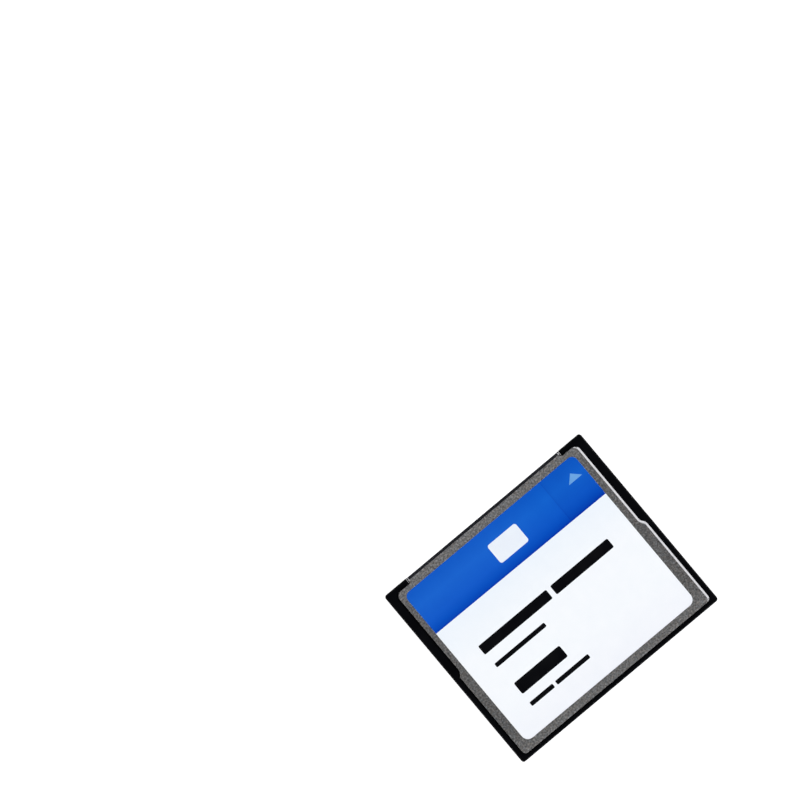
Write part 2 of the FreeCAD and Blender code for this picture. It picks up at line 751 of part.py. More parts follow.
def build_crystal():
    """A clock crystal in its sealed can: a base with a smaller lid."""
    crystal = new_body("crystal")
    base = new_sketch(crystal, "XY_Plane", BOARD_TOP)
    draw_chip(base, "crystal_place", back("crystal_depth"), "crystal_length", "crystal_width")
    pad(crystal, base, "crystal_base")
    lid = new_sketch(crystal, "XY_Plane", BOARD_TOP + " + crystal_base")
    draw_chip(lid, "crystal_place", back("crystal_depth"),
              "(crystal_length - 2 * crystal_ledge)", "(crystal_width - 2 * crystal_ledge)")
    pad(crystal, lid, "crystal_height - crystal_base")
    return crystal


def build_regulator_leads():
    leads = new_body("regulator_leads")
    y = back("regulator_depth")
    front = new_sketch(leads, "YZ_Plane", "regulator_place - regulator_pitch")
    draw_lead(front, y, "+", "regulator_width", "regulator_span")
    row_of_three = pad(leads, front, "regulator_lead_width", middle=True)
    repeat(leads, [row_of_three], "X_Axis", "3", "regulator_pitch")
    rear = new_sketch(leads, "YZ_Plane", "regulator_place - regulator_pitch")
    draw_lead(rear, y, "-", "regulator_width", "regulator_span")
    row_of_two = pad(leads, rear, "regulator_lead_width", middle=True)
    repeat(leads, [row_of_two], "X_Axis", "2", "(2 * regulator_pitch)")
    return leads


def build_card():
    """Every piece of the card, from the frame outwards and then inwards to the board."""
    frame = build_frame()
    top_cover = build_cover()
    top_film = build_film()
    upper_contacts = build_contacts()
    memory = build_package("upper_memory_body", "memory_length", "memory_width", "0", MEMORY_Y)
    memory_leads = build_memory_leads()
    return [
        frame,
        top_cover,
        mirror_below("bottom_cover", top_cover),
        top_film,
        mirror_below("bottom_bonding_film", top_film),
        build_label(),
        build_housing(),
        upper_contacts,
        mirror_below("lower_contacts", upper_contacts),
        build_board(),
        memory,
        memory_leads,
        mirror_below("lower_memory_body", memory),
        mirror_below("lower_memory_leads", memory_leads),
        build_package("controller_body", "controller_side", "controller_side",
                      "controller_shift", CONTROLLER_Y),
        build_controller_leads(),
        build_package("regulator_body", "regulator_length", "regulator_width",
                      "regulator_place", back("regulator_depth")),
        build_regulator_leads(),
        build_package("tantalum_capacitor", "tantalum_length", "tantalum_width",
                      "tantalum_place", back("tantalum_depth"), standoff="0"),
        build_crystal(),
        build_capacitors(),
        build_resistors(),
        build_resistor_arrays()]


def write_pieces(pieces):
    """Check the whole document, then write one file for each piece."""
    document.recompute()
    for item in document.Objects:
        if "Invalid" in item.State or "Error" in item.State:
            raise RuntimeError("%s did not build" % item.Label)
    for piece in pieces:
        if piece.Shape.isNull() or not piece.Shape.isValid():
            raise RuntimeError("%s has no sound shape" % piece.Label)
    os.makedirs("parts", exist_ok=True)
    for piece in pieces:
        piece.Shape.exportStep("parts/%s.step" % piece.Label)
        print("%-22s %3d solids %9.3f mm3" % (piece.Label, len(piece.Shape.Solids),
                                              piece.Shape.Volume))


write_pieces(build_card())
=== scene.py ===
# %% [markdown]
# # A compact flash memory card
#
# The card lies flat on a white table and is seen from straight above. It is a black moulded
# frame between two thin steel covers, with a 50-way socket in its front edge and a printed film
# label on its upper cover.
#
# The measured solids are loaded first. They settle every size, so that this script only gives
# them their finishes and redraws the covers and the label, whose soft edges and print the solids
# don't have.

# %% Load the measured card
from math import atan2, cos, degrees, radians, sin, tan

import bmesh
import bpy
from mathutils import Matrix, Vector
from mathutils.geometry import delaunay_2d_cdt


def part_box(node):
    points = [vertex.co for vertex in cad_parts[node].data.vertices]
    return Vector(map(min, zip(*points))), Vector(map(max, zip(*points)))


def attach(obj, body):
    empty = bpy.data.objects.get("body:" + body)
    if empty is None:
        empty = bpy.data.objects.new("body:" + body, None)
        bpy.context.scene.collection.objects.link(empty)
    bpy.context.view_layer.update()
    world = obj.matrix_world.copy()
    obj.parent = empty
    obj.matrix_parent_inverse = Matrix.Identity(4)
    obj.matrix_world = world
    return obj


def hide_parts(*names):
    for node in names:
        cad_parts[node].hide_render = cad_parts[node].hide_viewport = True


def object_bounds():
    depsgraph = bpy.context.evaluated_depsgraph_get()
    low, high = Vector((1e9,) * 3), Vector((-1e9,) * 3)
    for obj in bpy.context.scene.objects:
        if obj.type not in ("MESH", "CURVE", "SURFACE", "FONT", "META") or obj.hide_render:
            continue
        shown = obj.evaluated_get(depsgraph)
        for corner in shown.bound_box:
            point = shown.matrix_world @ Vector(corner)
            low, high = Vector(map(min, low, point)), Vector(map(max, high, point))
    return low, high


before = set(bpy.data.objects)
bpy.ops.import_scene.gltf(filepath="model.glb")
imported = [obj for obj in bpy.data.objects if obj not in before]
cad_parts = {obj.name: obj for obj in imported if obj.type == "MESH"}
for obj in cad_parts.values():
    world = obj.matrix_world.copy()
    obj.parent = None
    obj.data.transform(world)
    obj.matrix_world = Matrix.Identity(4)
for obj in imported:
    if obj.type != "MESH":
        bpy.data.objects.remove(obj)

cad_low, cad_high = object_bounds()
print("solids loaded:", len(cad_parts))
print("size in mm:", [round(1000 * length, 2) for length in cad_high - cad_low])

# %% [markdown]
# ## Places on the card
#
# A card like this is drawn from its front edge, where the socket is, and from its left side. A
# small helper turns such a place, in millimetres, into scene coordinates in metres. The two edges
# are read from the frame, so nothing here has to be fitted by eye.

# %% Turn card places into scene places
MM = 0.001
frame_low, frame_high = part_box("frame")
CARD_WIDTH = (frame_high.x - frame_low.x) / MM
CARD_LENGTH = (frame_high.y - frame_low.y) / MM


def on_card(from_left, behind_front):
    """A place on the card, from its left side and behind its front edge, in millimetres."""
    return Vector((frame_low.x + from_left * MM, frame_high.y - behind_front * MM))


print("card", round(CARD_WIDTH, 2), "by", round(CARD_LENGTH, 2), "mm")

# %% [markdown]
# ## How the finishes are made
#
# No surface of a real card is one flat colour. Moulded plastic has a fine spark-eroded grain,
# rolled steel is mottled, and printed film is slightly uneven in tone. All of that can come from
# noise in the material, which needs no picture file and stays sharp from any distance.
#
# The noise is read in object coordinates. Every piece here has its origin at the card's own, so
# a noise scale of 5000 means a pattern of about a fifth of a millimetre on all of them.

# %% Helpers for grain, shades and relief
def start_finish(name, roughness, metallic=0.0, specular=0.5):
    """A new material, with the plain numbers set on its shader."""
    finish = bpy.data.materials.new(name)
    finish.use_nodes = True
    shader = finish.node_tree.nodes["Principled BSDF"]
    shader.inputs["Roughness"].default_value = roughness
    shader.inputs["Metallic"].default_value = metallic
    shader.inputs["Specular IOR Level"].default_value = specular
    return finish


def grain(finish, scale, detail=2.0, stretch=(1, 1, 1)):
    """Noise over the piece. Stretching it gives a direction, as from rolling or moulding."""
    nodes, links = finish.node_tree.nodes, finish.node_tree.links
    place = nodes.new("ShaderNodeTexCoord")
    mapping = nodes.new("ShaderNodeMapping")
    mapping.inputs["Scale"].default_value = stretch
    noise = nodes.new("ShaderNodeTexNoise")
    noise.inputs["Scale"].default_value = scale
    noise.inputs["Detail"].default_value = detail
    links.new(place.outputs["Object"], mapping.inputs["Vector"])
    links.new(mapping.outputs["Vector"], noise.inputs["Vector"])
    return noise.outputs["Fac"]


def shades(finish, pattern, stops):
    """Turn a pattern from 0 to 1 into colours. A stop is (place, (red, green, blue))."""
    ramp = finish.node_tree.nodes.new("ShaderNodeValToRGB")
    ramp.color_ramp.elements.remove(ramp.color_ramp.elements[1])
    for index, (place, colour) in enumerate(stops):
        if index == 0:
            stop = ramp.color_ramp.elements[0]
            stop.position = place
        else:
            stop = ramp.color_ramp.elements.new(place)
        stop.color = (*colour, 1)
    finish.node_tree.links.new(pattern, ramp.inputs["Fac"])
    return ramp.outputs["Color"]


def vary_roughness(finish, pattern, low, high):
    """Let the polish follow a pattern, between two values."""
    spread = finish.node_tree.nodes.new("ShaderNodeMapRange")
    spread.inputs["To Min"].default_value = low
    spread.inputs["To Max"].default_value = high
    finish.node_tree.links.new(pattern, spread.inputs["Value"])
    shader = finish.node_tree.nodes["Principled BSDF"]
    finish.node_tree.links.new(spread.outputs["Result"], shader.inputs["Roughness"])


def relief(finish, pattern, depth, strength):
    """Let a pattern stand out of the surface by a depth in millimetres."""
    bump = finish.node_tree.nodes.new("ShaderNodeBump")
    bump.inputs["Strength"].default_value = strength
    bump.inputs["Distance"].default_value = depth * MM
    shader = finish.node_tree.nodes["Principled BSDF"]
    finish.node_tree.links.new(pattern, bump.inputs["Height"])
    finish.node_tree.links.new(bump.outputs["Normal"], shader.inputs["Normal"])


def along(finish, axis, start, end):
    """How far a point lies between two places on the card, from 0 to 1. X counts from the left
    side and Y from the front edge, in millimetres."""
    index = "XY".index(axis)
    nodes, links = finish.node_tree.nodes, finish.node_tree.links
    place = nodes.new("ShaderNodeTexCoord")
    split = nodes.new("ShaderNodeSeparateXYZ")
    reach = nodes.new("ShaderNodeMapRange")
    reach.inputs["From Min"].default_value = on_card(start, start)[index]
    reach.inputs["From Max"].default_value = on_card(end, end)[index]
    links.new(place.outputs["Object"], split.inputs["Vector"])
    links.new(split.outputs[axis], reach.inputs["Value"])
    return reach.outputs["Result"]


def multiply(finish, first, second):
    """Two colours multiplied."""
    mix = finish.node_tree.nodes.new("ShaderNodeMix")
    mix.data_type = "RGBA"
    mix.blend_type = "MULTIPLY"
    mix.inputs["Factor"].default_value = 1.0
    finish.node_tree.links.new(first, mix.inputs["A"])
    finish.node_tree.links.new(second, mix.inputs["B"])
    return mix.outputs["Result"]


def colour_from(finish, colours):
    """Send the worked-out colours to the shader."""
    shader = finish.node_tree.nodes["Principled BSDF"]
    finish.node_tree.links.new(colours, shader.inputs["Base Color"])


print("finish helpers ready")

# %% [markdown]
# ## Black moulded plastic
#
# The frame is black, glass-filled plastic, moulded with a fine satin grain. It looks almost
# black from above and shows its grain only where light grazes it. A dark base with a low
# specular level keeps it from turning grey, and two sizes of noise give the grain and the
# slightly cloudy flow of the moulding.

# %% Frame plastic
black_plastic = start_finish("black moulded plastic", roughness=0.34, specular=0.07)
flow = grain(black_plastic, scale=300, detail=3)
colour_from(black_plastic, shades(black_plastic, flow, [
    (0.3, (0.0009, 0.0010, 0.0016)),
    (0.7, (0.0016, 0.0018, 0.0026))]))
vary_roughness(black_plastic, flow, 0.28, 0.4)
relief(black_plastic, grain(black_plastic, scale=9000), depth=0.006, strength=0.5)
print("finish:", black_plastic.name)

# %% [markdown]
# ## Dull steel covers
#
# The covers are thin stainless sheet with a dull, mottled skin, as from tumbling. The mottling
# is about a quarter of a millimetre across, so it shows as a soft speckle. A metal takes its look
# from what it mirrors, so the base stays a believable steel and the dullness comes from the
# roughness. Two more patterns are multiplied into it: a faint tint, now warmer and now colder,
# and painted reflection that makes the steel lighter towards the card's front and rear.

# %% Cover steel
cover_steel = start_finish("dull mottled steel", roughness=0.38, metallic=1.0)
mottle = grain(cover_steel, scale=3400, detail=4)
skin = shades(cover_steel, mottle, [
    (0.3, (0.262, 0.258, 0.258)),
    (0.5, (0.485, 0.48, 0.48)),
    (0.7, (0.83, 0.82, 0.82))])
tint = shades(cover_steel, grain(cover_steel, scale=2600, detail=3), [
    (0.35, (1.0, 0.95, 0.90)),
    (0.65, (0.93, 0.97, 1.0))])
# Painted reflection: the steel is painted lighter towards the card's front and rear and darker in
# the middle.
painted_end_sheen = shades(cover_steel, along(cover_steel, "Y", 0, CARD_LENGTH), [
    (0.03, (1.0, 1.0, 1.0)),
    (0.12, (0.76, 0.76, 0.76)),
    (0.85, (0.68, 0.68, 0.68)),
    (0.97, (0.92, 0.92, 0.92))])
colour_from(cover_steel, multiply(cover_steel, multiply(cover_steel, skin, tint), painted_end_sheen))
vary_roughness(cover_steel, mottle, 0.33, 0.43)
relief(cover_steel, grain(cover_steel, scale=7000), depth=0.004, strength=0.5)

coined_steel = start_finish("coined steel edge", roughness=0.12, metallic=1.0)
drawn = grain(coined_steel, scale=2500, detail=3)
colour_from(coined_steel, shades(coined_steel, drawn, [
    (0.3, (0.46, 0.46, 0.48)),
    (0.7, (0.60, 0.60, 0.62))]))
vary_roughness(coined_steel, drawn, 0.1, 0.15)
print("finishes:", cover_steel.name, "and", coined_steel.name)

# %% [markdown]
# ## Inks and film of the label
#
# The label is a white film with a blue band along its front. The printed blue isn't even: it is
# lightest in the middle of the band, deepens towards the white and a little towards the right,
# and a faint seam crosses it. Gradients along and across the card give the first, and a narrow
# window across it the seam. The other prints are a pale arrow, a white tile and black bars.

# %% Film, tile, arrow and bars
def satin_print(name, dark, light, painted_sheen_stops=None, specular=0.35):
    """Printed film in one ink: two close shades, with the film's faint unevenness. If a row of
    stops from the card's front to its rear is given, it is painted light, multiplied into the
    ink."""
    finish = start_finish(name, roughness=0.32, specular=specular)
    colours = shades(finish, grain(finish, scale=450, detail=3), [(0.3, dark), (0.7, light)])
    if painted_sheen_stops:
        towards_rear = along(finish, "Y", 0, CARD_LENGTH)
        colours = multiply(finish, colours, shades(finish, towards_rear, painted_sheen_stops))
    colour_from(finish, colours)
    relief(finish, grain(finish, scale=1500, detail=1), depth=0.002, strength=0.3)
    return finish


# Painted light: the white film is painted lighter in the middle of the card and a little darker
# towards its front and rear.
white_film = satin_print("white film", (0.865, 0.895, 0.93), (0.885, 0.91, 0.94), painted_sheen_stops=[
    (0.3, (0.93, 0.96, 0.99)),
    (0.5, (1.0, 1.0, 1.0)),
    (0.75, (1.0, 1.0, 1.0)),
    (0.95, (0.97, 0.96, 0.98))])
tile_white = satin_print("white tile", (0.77, 0.82, 0.90), (0.80, 0.85, 0.915))
pale_ink = satin_print("pale blue ink", (0.12, 0.32, 0.68), (0.15, 0.37, 0.73))
black_ink = satin_print("black ink", (0.001, 0.001, 0.002), (0.003, 0.003, 0.004), specular=0.12)
print("inks:", white_film.name, tile_white.name, pale_ink.name, black_ink.name)

# %% Blue band with its gradient and seam
# In millimetres from the card's front edge, and then from its left side.
BAND_FRONT, BAND_REAR = 1.98, 10.6
SEAM, SEAM_REACH = 32.3, 0.5
DEEPENS_FROM, DEEPENS_TO = 20, 30
blue_ink = start_finish("blue ink", roughness=0.3, specular=0.14)
gradient = shades(blue_ink, along(blue_ink, "Y", BAND_FRONT, BAND_REAR), [
    (0.0, (0.0050, 0.094, 0.52)),
    (0.35, (0.0095, 0.120, 0.58)),
    (0.7, (0.0060, 0.098, 0.55)),
    (0.85, (0.0020, 0.078, 0.50)),
    (0.93, (0.0008, 0.060, 0.45)),
    (1.0, (0.0004, 0.032, 0.36))])
seam = shades(blue_ink, along(blue_ink, "X", SEAM - SEAM_REACH, SEAM + SEAM_REACH), [
    (0.0, (1.0, 1.0, 1.0)),
    (0.38, (0.98, 0.99, 1.0)),
    (0.5, (0.68, 0.74, 0.86)),
    (0.62, (0.88, 0.90, 0.94)),
    (1.0, (0.92, 0.93, 0.96))])
deeper = shades(blue_ink, along(blue_ink, "X", DEEPENS_FROM, DEEPENS_TO), [
    (0.0, (1.0, 1.0, 1.0)),
    (1.0, (0.55, 0.95, 0.98))])
cloud = shades(blue_ink, grain(blue_ink, scale=500, detail=3), [
    (0.3, (0.94, 0.95, 0.97)),
    (0.7, (1.0, 1.0, 1.0))])
across = multiply(blue_ink, seam, deeper)
colour_from(blue_ink, multiply(blue_ink, multiply(blue_ink, gradient, across), cloud))
relief(blue_ink, grain(blue_ink, scale=1500, detail=1), depth=0.002, strength=0.3)
print("finish:", blue_ink.name)

# %% [markdown]
# ## Socket and contacts
#
# The socket is moulded in a plastic that stands soldering heat, with short glass fibres that
# leave pale flecks. Its contacts are spring strip with a thin gold plating. Stretched noise
# makes the flecks, and the gold keeps faint lines along the direction it was drawn in.

# %% Socket plastic and gold plating
socket_plastic = start_finish("glass-filled socket plastic", roughness=0.5, specular=0.3)
flecks = grain(socket_plastic, scale=4000, detail=3, stretch=(1, 0.3, 1))
colour_from(socket_plastic, shades(socket_plastic, flecks, [
    (0.35, (0.005, 0.005, 0.006)),
    (0.62, (0.009, 0.009, 0.010)),
    (0.72, (0.028, 0.027, 0.026))]))
relief(socket_plastic, flecks, depth=0.005, strength=0.4)

gold_plating = start_finish("gold-plated contact", roughness=0.25, metallic=1.0)
draw_lines = grain(gold_plating, scale=6000, detail=2, stretch=(1, 0.1, 1))
colour_from(gold_plating, shades(gold_plating, draw_lines, [
    (0.3, (0.80, 0.52, 0.20)),
    (0.7, (0.95, 0.68, 0.32))]))
vary_roughness(gold_plating, draw_lines, 0.18, 0.34)
print("finishes:", socket_plastic.name, gold_plating.name)

# %% [markdown]
# ## Inside the card
#
# The circuit board and the parts on it are hidden, but they are there, so they get their own
# finishes too: green solder mask with the weave of the glass cloth under it, dark moulding resin,
# tinned leads, a nickel-plated can and sintered ceramics.

# %% Solder mask over glass cloth
solder_mask = start_finish("green solder mask", roughness=0.35, specular=0.5)
nodes, links = solder_mask.node_tree.nodes, solder_mask.node_tree.links
threads = []
for turn in (0, 90):
    place = nodes.new("ShaderNodeTexCoord")
    mapping = nodes.new("ShaderNodeMapping")
    mapping.inputs["Rotation"].default_value = (0, 0, radians(turn))
    wave = nodes.new("ShaderNodeTexWave")
    wave.inputs["Scale"].default_value = 700
    links.new(place.outputs["Object"], mapping.inputs["Vector"])
    links.new(mapping.outputs["Vector"], wave.inputs["Vector"])
    threads.append(wave.outputs["Color"])
weave = multiply(solder_mask, *threads)
colour_from(solder_mask, shades(solder_mask, weave, [
    (0.0, (0.006, 0.085, 0.030)),
    (1.0, (0.012, 0.130, 0.050))]))
relief(solder_mask, weave, depth=0.004, strength=0.3)
print("finish:", solder_mask.name)


# %% Resins, metals and ceramics of the small parts
def small_part(name, dark, light, roughness, metallic=0.0, scale=3000):
    """A finish for a small part: two shades in a fine grain that also stands out a little."""
    finish = start_finish(name, roughness=roughness, metallic=metallic)
    pattern = grain(finish, scale=scale, detail=3)
    colour_from(finish, shades(finish, pattern, [(0.3, dark), (0.7, light)]))
    vary_roughness(finish, pattern, roughness - 0.08, roughness + 0.08)
    relief(finish, pattern, depth=0.004, strength=0.4)
    return finish


package_resin = small_part(
    "dark moulding resin", (0.016, 0.016, 0.018), (0.034, 0.034, 0.036), 0.6)
tinned_lead = small_part("tinned lead", (0.60, 0.60, 0.61), (0.78, 0.78, 0.78), 0.35, 1.0)
yellow_resin = small_part("yellow resin", (0.56, 0.30, 0.035), (0.68, 0.40, 0.06), 0.5)
nickel_can = small_part(
    "nickel-plated can", (0.55, 0.53, 0.49), (0.70, 0.67, 0.62), 0.28, 1.0, scale=5000)
brown_ceramic = small_part("brown ceramic", (0.30, 0.20, 0.12), (0.42, 0.30, 0.19), 0.55)
resistor_glaze = small_part("resistor glaze", (0.012, 0.012, 0.015), (0.03, 0.03, 0.034), 0.3)
bonding_film = small_part(
    "amber bonding film", (0.42, 0.24, 0.06), (0.52, 0.32, 0.10), 0.4, scale=900)
print("finishes from", package_resin.name, "to", bonding_film.name)

# %% Give the solids their finishes
FINISH_OF = {
    "frame": black_plastic,
    "top_bonding_film": bonding_film,
    "bottom_bonding_film": bonding_film,
    "connector_housing": socket_plastic,
    "upper_contacts": gold_plating,
    "lower_contacts": gold_plating,
    "circuit_board": solder_mask,
    "upper_memory_body": package_resin,
    "upper_memory_leads": tinned_lead,
    "lower_memory_body": package_resin,
    "lower_memory_leads": tinned_lead,
    "controller_body": package_resin,
    "controller_leads": tinned_lead,
    "regulator_body": package_resin,
    "regulator_leads": tinned_lead,
    "tantalum_capacitor": yellow_resin,
    "crystal": nickel_can,
    "ceramic_capacitors": brown_ceramic,
    "chip_resistors": resistor_glaze,
    "resistor_arrays": resistor_glaze,
    "top_cover": cover_steel,
    "bottom_cover": cover_steel,
    "top_label": white_film,
}
for name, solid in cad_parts.items():
    if not solid.material_slots:
        solid.data.materials.append(FINISH_OF[name])
    for place in solid.material_slots:
        place.material = FINISH_OF[name]
print("solids finished:", len(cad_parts))

# %% [markdown]
# ## The outline of the covers
#
# Each cover is a stamped panel. A tongue reaches over the socket at the front, with a square
# shoulder on each side of it, and behind the guide slots the cover widens by a small step.
#
# The rim of the panel is bent down and its edge is coined, so in section the outline gets smaller
# towards the top. A function draws the outline with each side moved inwards by its own amount.
# It gives all the rings of such a section, each with the same number of points, so they can be
# joined point to point.

# %% Draw a rounded outline with its sides moved inwards
DEGREES_PER_STEP = 11


def outline(corners, insets=None):
    """Points round a closed outline, anticlockwise. A corner is (x, y, radius). Each side is the
    one that ends at its corner, and the insets say how far the sides are moved inwards."""
    insets = insets or [0.0] * len(corners)
    points = []
    for index, (x, y, radius) in enumerate(corners):
        following = (index + 1) % len(corners)
        here = Vector((x, y))
        inward = (here - Vector(corners[index - 1][:2])).normalized()
        outward = (Vector(corners[following][:2]) - here).normalized()
        turn = atan2(inward.cross(outward), inward.dot(outward))
        side = 1 if turn > 0 else -1
        left_of_inward = Vector((-inward.y, inward.x))
        left_of_outward = Vector((-outward.y, outward.x))
        first, second = insets[index], insets[following]
        corner = here + (left_of_inward * (first - cos(turn) * second)
                         + left_of_outward * (second - cos(turn) * first)) / sin(turn) ** 2
        bend = radius - side * (first + second) / 2
        start = corner - inward * bend * tan(abs(turn) / 2)
        centre = start + left_of_inward * side * bend
        steps = max(2, round(abs(degrees(turn)) / DEGREES_PER_STEP))
        for step in range(steps + 1):
            points.append(centre + Matrix.Rotation(turn * step / steps, 2) @ (start - centre))
    return points


# %% The covers' corners, in millimetres
TAB_SIDE, TAB_CORNER, TAB_INNER_CORNER = 4.8, 0.45, 0.2
SHOULDER, NARROW_SIDE, FRONT_CORNER = 0.93, 1.6, 1.2
WAIST, WAIST_ROUND, REAR_CORNER = 18.15, 1.0, 0.9
# How far the slanted step at the waist runs each way, as a share of its width.
WAIST_SLANT = 0.65
cover_low, cover_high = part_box("top_cover")
middle = (frame_low.x + frame_high.x) / 2
wide = cover_high.x
narrow = on_card(CARD_WIDTH - NARROW_SIDE, 0).x
waist_reach = WAIST_SLANT * (wide - narrow)
right_half = [
    (on_card(CARD_WIDTH - TAB_SIDE, 0).x, cover_high.y, TAB_CORNER * MM),
    (on_card(CARD_WIDTH - TAB_SIDE, 0).x, on_card(0, SHOULDER).y, TAB_INNER_CORNER * MM),
    (narrow, on_card(0, SHOULDER).y, FRONT_CORNER * MM),
    (narrow, on_card(0, WAIST).y + waist_reach, WAIST_ROUND * MM),
    (wide, on_card(0, WAIST).y - waist_reach, WAIST_ROUND * MM),
    (wide, cover_low.y, REAR_CORNER * MM)]
left_half = [(2 * middle - x, y, radius) for x, y, radius in right_half]
cover_corners = left_half + right_half[::-1]
print("points round a cover:", len(outline(cover_corners)))

# %% [markdown]
# ## The covers in section
#
# Seen from above, the coined edge is the brightest or darkest line of the whole card, because it
# is tilted and mirrors the side of the room. The section starts on the flat panel, rolls into a
# slope, turns down into the rim and comes back up inside, so that the sheet has its real
# thickness. The slope isn't the same all round: it is widest along the front of the tongue, about
# a third of a millimetre on the right side, and half of that or less on the other sides.
#
# The first two rings lie flat on the panel. Without the second, smooth shading would tilt the
# whole panel's edge a little, and the steel would mirror the wrong part of the room.

# %% Join rings into a shell
SHARP_ANGLE = 32


def shell(name, rings, finish, edge_finish, edge_levels):
    """A closed skin over rings of points. The first ring closes the top, the last the bottom.
    The bands between the rings at edge_levels get a finish of their own."""
    mesh = bpy.data.meshes.new(name)
    count = len(rings[0])
    points = [point for ring in rings for point in ring]
    faces = [list(range(count))]
    for level in range(len(rings) - 1):
        upper, lower = level * count, (level + 1) * count
        for index in range(count):
            following = (index + 1) % count
            faces.append([upper + index, lower + index, lower + following, upper + following])
    faces.append([(len(rings) - 1) * count + index for index in reversed(range(count))])
    mesh.from_pydata(points, [], faces)
    mesh.materials.append(finish)
    mesh.materials.append(edge_finish)
    for level in edge_levels:
        for index in range(count):
            mesh.polygons[1 + level * count + index].material_index = 1
    mesh.shade_smooth()
    mesh.set_sharp_from_angle(angle=radians(SHARP_ANGLE))
    piece = bpy.data.objects.new(name, mesh)
    bpy.context.scene.collection.objects.link(piece)
    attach(piece, "root")
    return piece


# %% Section of the cover's edge
# Each pair is an inset from the outline and a depth below the panel, in millimetres.
SLOPE = [
    (0.39, 0.0), (0.37, 0.0), (0.355, 0.002), (0.345, 0.008), (0.335, 0.016),
    (0.03, 0.254), (0.006, 0.273), (0.002, 0.279), (0.0, 0.290)]
RIM = [(0.0, 0.41), (0.02, 0.45), (0.18, 0.45), (0.2, 0.43), (0.2, 0.34)]
INNER_BEND = [(0.225, 0.27), (0.28, 0.215), (0.36, 0.2)]

# How wide the slope is on each side, in the order of the corners, from the tongue's front on.
# The inner bend follows a wider slope, so that the sheet doesn't get thin there.
SLOPE_SHARES = [1.45, 0.4, 0.5, 0.4, 0.4, 0.4, 0.5, 1.0, 1.0, 1.0, 0.5, 0.4]
RIM_SHARES = [1.0] * len(SLOPE_SHARES)
BEND_SHARES = [max(1.0, share) for share in SLOPE_SHARES]


def cover_rings(face, away):
    """Rings of the section, from the panel's face inwards: away is -1 below it and 1 above."""
    rings = []
    for section, shares in ((SLOPE, SLOPE_SHARES), (RIM, RIM_SHARES), (INNER_BEND, BEND_SHARES)):
        for inset, depth in section:
            ring = outline(cover_corners, [share * inset * MM for share in shares])
            height = Vector((0, 0, face + away * depth * MM))
            rings.append([point.to_3d() + height for point in ring])
    return rings


print("rings of the section:", len(SLOPE + RIM + INNER_BEND))

# %% Both covers
# The bands between these rings are coined: from the end of the flat to the foot of the rim.
COINED = range(2, 10)
upper_cover = shell("upper_cover_shell", cover_rings(cover_high.z, -1),
                    cover_steel, coined_steel, COINED)
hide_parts("top_cover")
under_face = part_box("bottom_cover")[0].z
lower_cover = shell("lower_cover_shell", cover_rings(under_face, 1),
                    cover_steel, coined_steel, COINED)
lower_cover.data.flip_normals()
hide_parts("bottom_cover")
print("faces of a cover:", len(upper_cover.data.polygons))

# %% [markdown]
# ## The printed label
#
# The label is a film a tenth of a millimetre thick, laid by hand a little to the left. Its print
# could be painted on with a texture, but sharp borders are easier to keep as real edges in the
# mesh. The outlines of all printed fields are cut into the top face at once by a constrained
# triangulation, which also says which fields each triangle belongs to, and each field then gets
# its own ink. A wall round the border and one face below close the film.

# %% Outlines of the print, in millimetres
def field(left, right, front, rear, radius):
    """Corners of a printed field with rounded corners, anticlockwise."""
    return [(*on_card(right, front), radius * MM), (*on_card(left, front), radius * MM),
            (*on_card(left, rear), radius * MM), (*on_card(right, rear), radius * MM)]


LABEL_FRONT_ROUND, LABEL_REAR_ROUND = 1.1 * MM, 1.3 * MM
BAND_REAR_LEFT = 10.36
label_low, label_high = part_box("top_label")
label_corners = [
    (label_high.x, label_high.y, LABEL_FRONT_ROUND),
    (label_low.x, label_high.y, LABEL_FRONT_ROUND),
    (label_low.x, label_low.y, LABEL_REAR_ROUND),
    (label_high.x, label_low.y, LABEL_REAR_ROUND)]
band = [on_card(CARD_WIDTH, 0), on_card(0, 0),
        on_card(0, BAND_REAR_LEFT), on_card(CARD_WIDTH, BAND_REAR)]
tile = field(18.67, 24.8, 4.58, 8.38, 0.45)
arrow = [on_card(37.23, 4.17), on_card(35.83, 5.6), on_card(38.67, 5.6)]
bars = [
    field(6.75, 21.6, 16.5, 18.35, 0.25), field(22.5, 35.0, 16.5, 18.35, 0.25),
    field(6.95, 17.8, 20.5, 21.3, 0.2),
    field(7.35, 17.3, 25.1, 27.45, 0.3),
    field(7.3, 12.3, 29.25, 30.05, 0.2), field(12.9, 20.05, 29.25, 30.05, 0.2)]
prints = [
    (outline(label_corners), white_film),
    (band, blue_ink),
    (outline(tile), tile_white),
    (arrow, pale_ink)] + [(outline(bar), black_ink) for bar in bars]
print("printed fields:", len(prints))


# %% A closed film from flat triangles
def film_mesh(name, flat, printed, foot, face):
    """A thin film: triangles on top, a wall under their border and one face below. What is
    printed is a list of a triangle and the number of its ink."""
    used = sorted({index for triangle, _ in printed for index in triangle})
    number = {index: place for place, index in enumerate(used)}
    tops = [[number[index] for index in triangle] for triangle, _ in printed]
    # A side that only one triangle has lies on the border.
    sides = [(top[corner - 1], top[corner]) for top in tops for corner in range(3)]
    known = set(sides)
    following = {start: end for start, end in sides if (end, start) not in known}
    border = [min(following)]
    while following[border[-1]] != border[0]:
        border.append(following[border[-1]])
    points = [(flat[index].x, flat[index].y, face) for index in used]
    points += [(points[index][0], points[index][1], foot) for index in border]
    low = {index: len(used) + place for place, index in enumerate(border)}
    walls = [[end, start, low[start], low[end]]
             for start, end in zip(border, border[1:] + border[:1])]
    below = [low[index] for index in reversed(border)]
    mesh = bpy.data.meshes.new(name)
    mesh.from_pydata(points, [], tops + walls + [below])
    for top, (_, ink) in zip(mesh.polygons, printed):
        top.material_index = ink
    return mesh


# %% Cut the print into the label
CUT_EDGE, CUT_EDGE_STEPS, CUT_EDGE_ANGLE = 0.03 * MM, 2, 40
TRIANGLES_INSIDE = 1  # the kind of result that keeps only triangles inside the outlines
SAME_POINT = 1e-8  # points that are nearer to each other than this, in metres, become one


